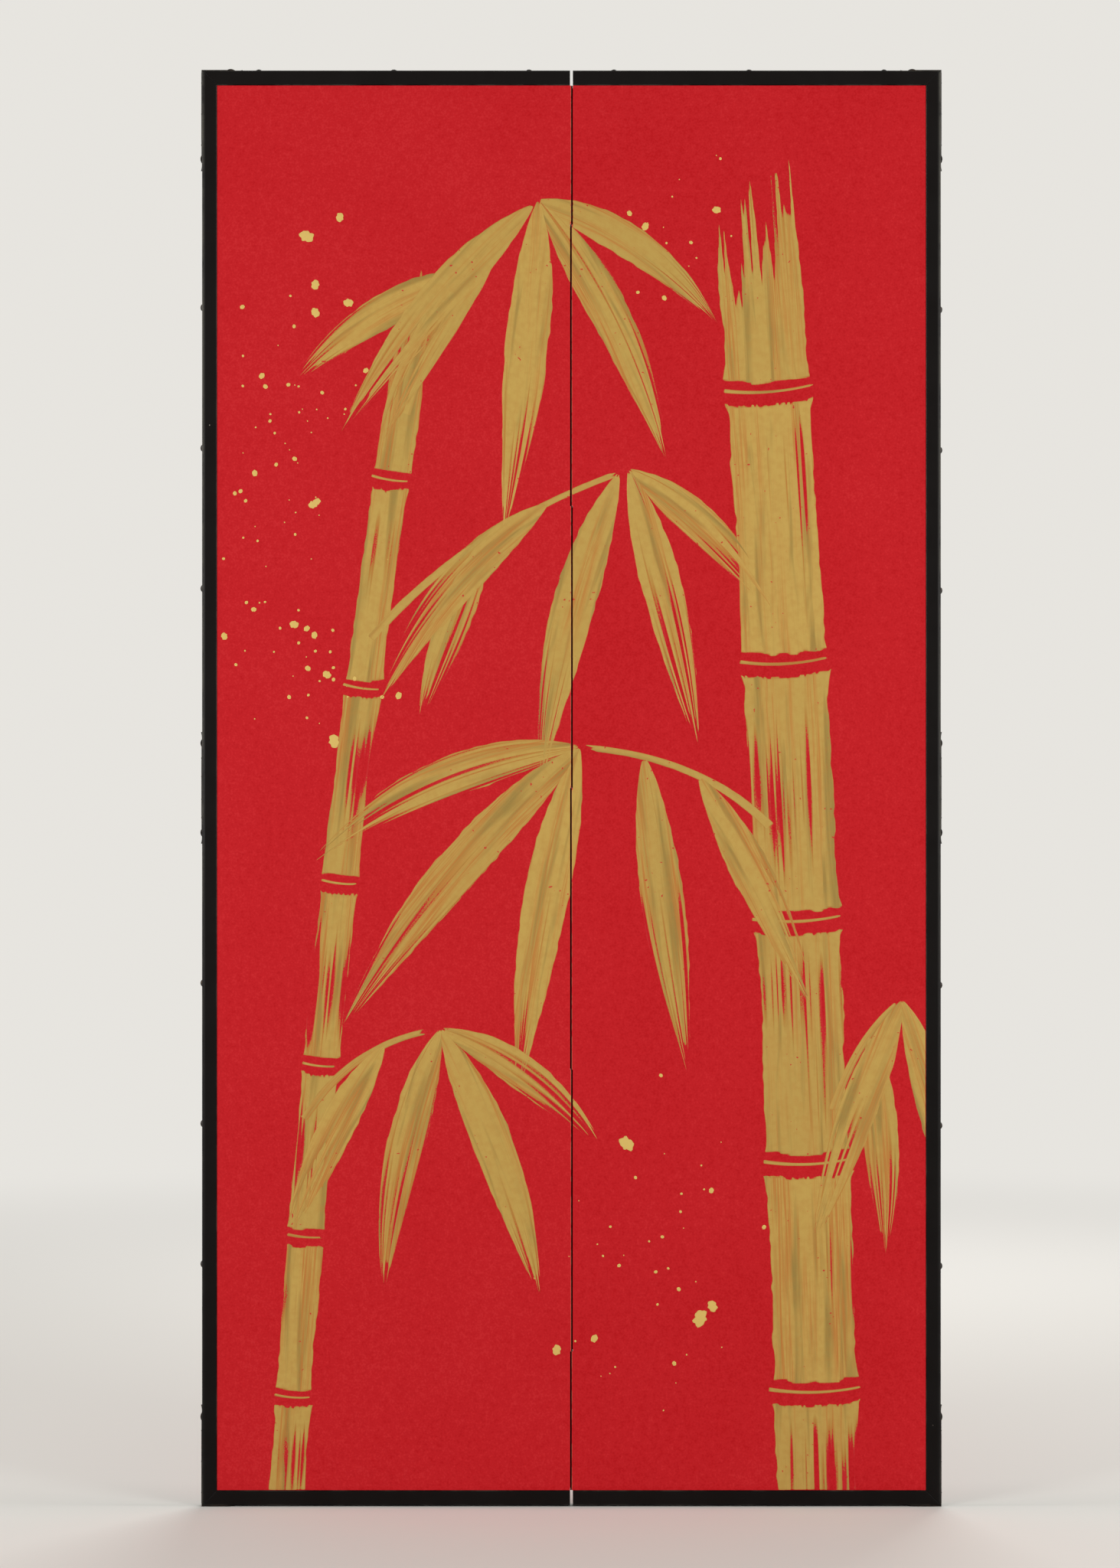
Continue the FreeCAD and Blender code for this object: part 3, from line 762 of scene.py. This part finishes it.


# Lacquered frame
# Slim hardwood members, chamfered and mitred, are covered in black lacquer and rubbed to a satin.
# Chamfers are tinted warm grey, partly from wear and partly as a painted highlight; outer edges are softened
# by handling, and there are a few small chips.

lacquer_black = (0.0034, 0.0022, 0.0019, 1)
lacquer_worn_highlight = (0.042, 0.038, 0.031, 1)
lacquer_highlight_rubbed = (0.066, 0.062, 0.050, 1)
lacquer_chip = (0.30, 0.27, 0.23, 1)
mitre_dark = (0.0012, 0.0008, 0.0007, 1)
mitre_width = 0.0007
soft_edge = 0.0045
highlight_band_width = 0.0034
highlight_low, highlight_high = 0.45, 1.10
stile_low, stile_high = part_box("right_frame_outer_stile")

black_lacquer, place = new_material("black_lacquer")
x, height = place.part(0), place.part(2)
facing = Signal(place.socket.node.outputs["Normal"])
turns = [facing.part(index).math("ABSOLUTE") for index in range(3)]
on_chamfer = (turns[1] * (turns[0] + turns[2])).between(0.2, 0.45)
rub = place.noise(26.0, 4.0, 0.65)
# The chamfers take a warm grey here: partly wear, and partly a painted highlight standing in for the lamps'
# sheen on them.
wear = on_chamfer * rub.between(0.42, 0.66)
from_outside = stile_high.x - x.math("ABSOLUTE")
from_top, from_bottom = stile_high.z - height, height - stile_low.z
off_mitres = [(from_outside - from_end).math("ABSOLUTE") for from_end in (from_top, from_bottom)]
mitre = off_mitres[0].math("MINIMUM", off_mitres[1]).between(mitre_width / 2, mitre_width, 1.0, 0.0)
speck_cells = {"Vector": place, "Scale": 70.0, "Randomness": 1.0}
from_speck = place.node("TexVoronoi", speck_cells)
speck_chance = place.node("TexVoronoi", speck_cells, output=1).part(0)
chips = from_speck.between(0.035, 0.075, 1.0, 0.0) * speck_chance.between(0.955, 0.96)
brushed = place.noise(900.0, 2.0)
level_flow = place.noise(45.0, 3.0)
softened = from_outside.between(0.0, soft_edge)
# Painted highlight with some rubbing: a lighter band near the stiles' outer edges on the front faces, fading
# out towards the bottom as the light falls off.
highlight_and_rubbing = from_outside.between(highlight_band_width / 3, highlight_band_width, 1.0, 0.0) * turns[1].between(0.3, 0.7)
highlight_and_rubbing = highlight_and_rubbing * height.between(highlight_low, highlight_high) * rub.between(0.30, 0.60)
tone = (wear * 0.7).mix(lacquer_black, lacquer_worn_highlight)
tone = (highlight_and_rubbing * 0.75).mix(tone, lacquer_highlight_rubbed)
tone = mitre.mix(tone, mitre_dark)
relief = level_flow * 0.8 + brushed * 0.08 - chips * 0.3 - mitre + softened * 8.0
coat(
    place,
    Base_Color=(chips * 0.8).mix(tone, lacquer_chip),
    Roughness=(rub * 0.7 + brushed * 0.3).between(0.35, 0.65, 0.30, 0.44) + chips * 0.3,
    Normal=bump(place, relief, 0.0002, 0.5),
    Specular_IOR_Level=0.10,
)
dress(black_lacquer, "frame_top_rail", "frame_bottom_rail", "frame_outer_stile")


# Studs, fittings and pins
# Domed studs nail the frame to the core. Thin plates with leaf ends sit on its edges, held by small pins.
# All are copper alloy, blackened and lacquered, and rubbed to dull brown in patches.

metal_black = (0.010, 0.008, 0.007, 1)
metal_brown = (0.045, 0.028, 0.016, 1)

dark_metal, place = new_material("dark_metal")
patina = place.noise(190.0, 4.0, 0.6)
scratches = place.stretched(1.0, 1.0, 0.08).noise(1600.0, 2.0)
hammering = place.noise(420.0, 2.0)
coat(
    place,
    Base_Color=(patina * 0.7 + scratches * 0.3).between(0.44, 0.72).mix(metal_black, metal_brown),
    Metallic=0.75,
    Roughness=patina.between(0.35, 0.65, 0.38, 0.58),
    Normal=bump(place, hammering * 0.7 + scratches * 0.3, 0.00012, 0.6),
)
dress(dark_metal, "top_studs", "side_studs", "bottom_studs", "fitting_pins")
dress(dark_metal, "top_corner_fitting", "bottom_corner_fitting", "side_fitting")


# Floor, lights and camera
# A plain pale floor fades into a pale background. Soft lamps stand in front of the screen to both sides, a
# tall strip lamp far out on each side, and one lamp behind. The camera is where the photograph was taken.

photo_width, photo_height = 1463, 2048
photo_frame_top = 91.9
photo_frame_bottom = 1966.2
photo_hinge = 746.45
camera_distance = 5.0
sensor = 36.0

pixel = (stile_high.z - stile_low.z) / (photo_frame_bottom - photo_frame_top)
camera_data = bpy.data.cameras.new("camera")
camera_data.sensor_width = sensor
camera_data.lens = sensor * camera_distance / (photo_height * pixel)
camera = bpy.data.objects.new("camera", camera_data)
camera_x = (photo_width / 2 - photo_hinge) * pixel
camera_z = stile_high.z - (photo_height / 2 - photo_frame_top) * pixel
camera.location = (camera_x, stile_low.y - camera_distance, camera_z)
camera.rotation_euler = (math.pi / 2, 0, 0)
bpy.context.scene.collection.objects.link(camera)
bpy.context.scene.camera = camera

background = (0.80, 0.78, 0.74, 1)
ambient_strength = 0.28

world = bpy.data.worlds.new("studio")
world.use_nodes = True
world.node_tree.nodes.clear()
ray = world.node_tree.nodes.new("ShaderNodeLightPath")
seen = Signal(ray.outputs["Is Camera Ray"]) + Signal(ray.outputs["Is Glossy Ray"])
seen = (seen + Signal(ray.outputs["Is Transmission Ray"])).between(0.0, 1.0, ambient_strength, 1.0)
sky = seen.node("Background", {"Color": background, "Strength": seen})
sky.node("OutputWorld", {"Surface": sky})
bpy.context.scene.world = world

floor_radius = 9.0
floor_rings = 24
floor_spokes = 97
fade_start = 1.2
fade_end = 4.5
floor_colour = (0.74, 0.72, 0.68, 1)


def disc(radius, rings, spokes):
    """Points of a flat disc: a ring's radius, which grows as a square, times a spoke's cosine and sine."""
    r = radius * np.linspace(0.0, 1.0, rings)[:, None] ** 2
    turn = np.linspace(0.0, 2 * math.pi, spokes)[None, :]
    return np.stack([r * np.cos(turn), r * np.sin(turn), 0 * r * turn], axis=-1)


floor_paint, place = new_material("floor_paint")
away = place.node("VectorMath", {0: place}, output=1, operation="LENGTH").between(fade_start, fade_end)
matte = place.node("BsdfDiffuse", {"Color": floor_colour})
glow = place.node("Emission", {"Color": background, "Strength": 1.0})
faded = place.node("MixShader", {0: away, 1: matte, 2: glow})
place.node("OutputMaterial", {"Surface": faded})
floor_points = disc(floor_radius, floor_rings, floor_spokes).reshape(-1, 3)
new_piece("floor", floor_points, grid_faces(floor_rings, floor_spokes), floor_paint)


def lamp(name, spot, aim, size, watts):
    """A soft lamp of a width and height at a spot, turned so that it points at an aim."""
    data = bpy.data.lights.new(name, "AREA")
    data.shape = "RECTANGLE"
    data.size, data.size_y = size
    data.energy = watts
    light = bpy.data.objects.new(name, data)
    light.location = spot
    aside, ahead, above = np.subtract(aim, spot)
    tilt = math.atan2(math.hypot(aside, ahead), -above)
    light.rotation_euler = (tilt, 0, math.atan2(ahead, aside) - math.pi / 2)
    bpy.context.scene.collection.objects.link(light)


screen_middle = (0.0, 0.0, 0.95)
strip_aim = (0.0, -0.16, 1.75)
for side, sign in panels.items():
    lamp(f"{side}_lamp", (sign * 2.9, -2.9, 1.3), screen_middle, size=(1.5, 1.5), watts=65)
    lamp(f"{side}_strip_lamp", (sign * 3.6, *strip_aim[1:]), strip_aim, size=(0.7, 2.4), watts=62)
lamp("back_lamp", (0.6, 3.2, 2.4), screen_middle, size=(2.2, 2.2), watts=80)

bpy.context.scene.view_settings.view_transform = "Standard"
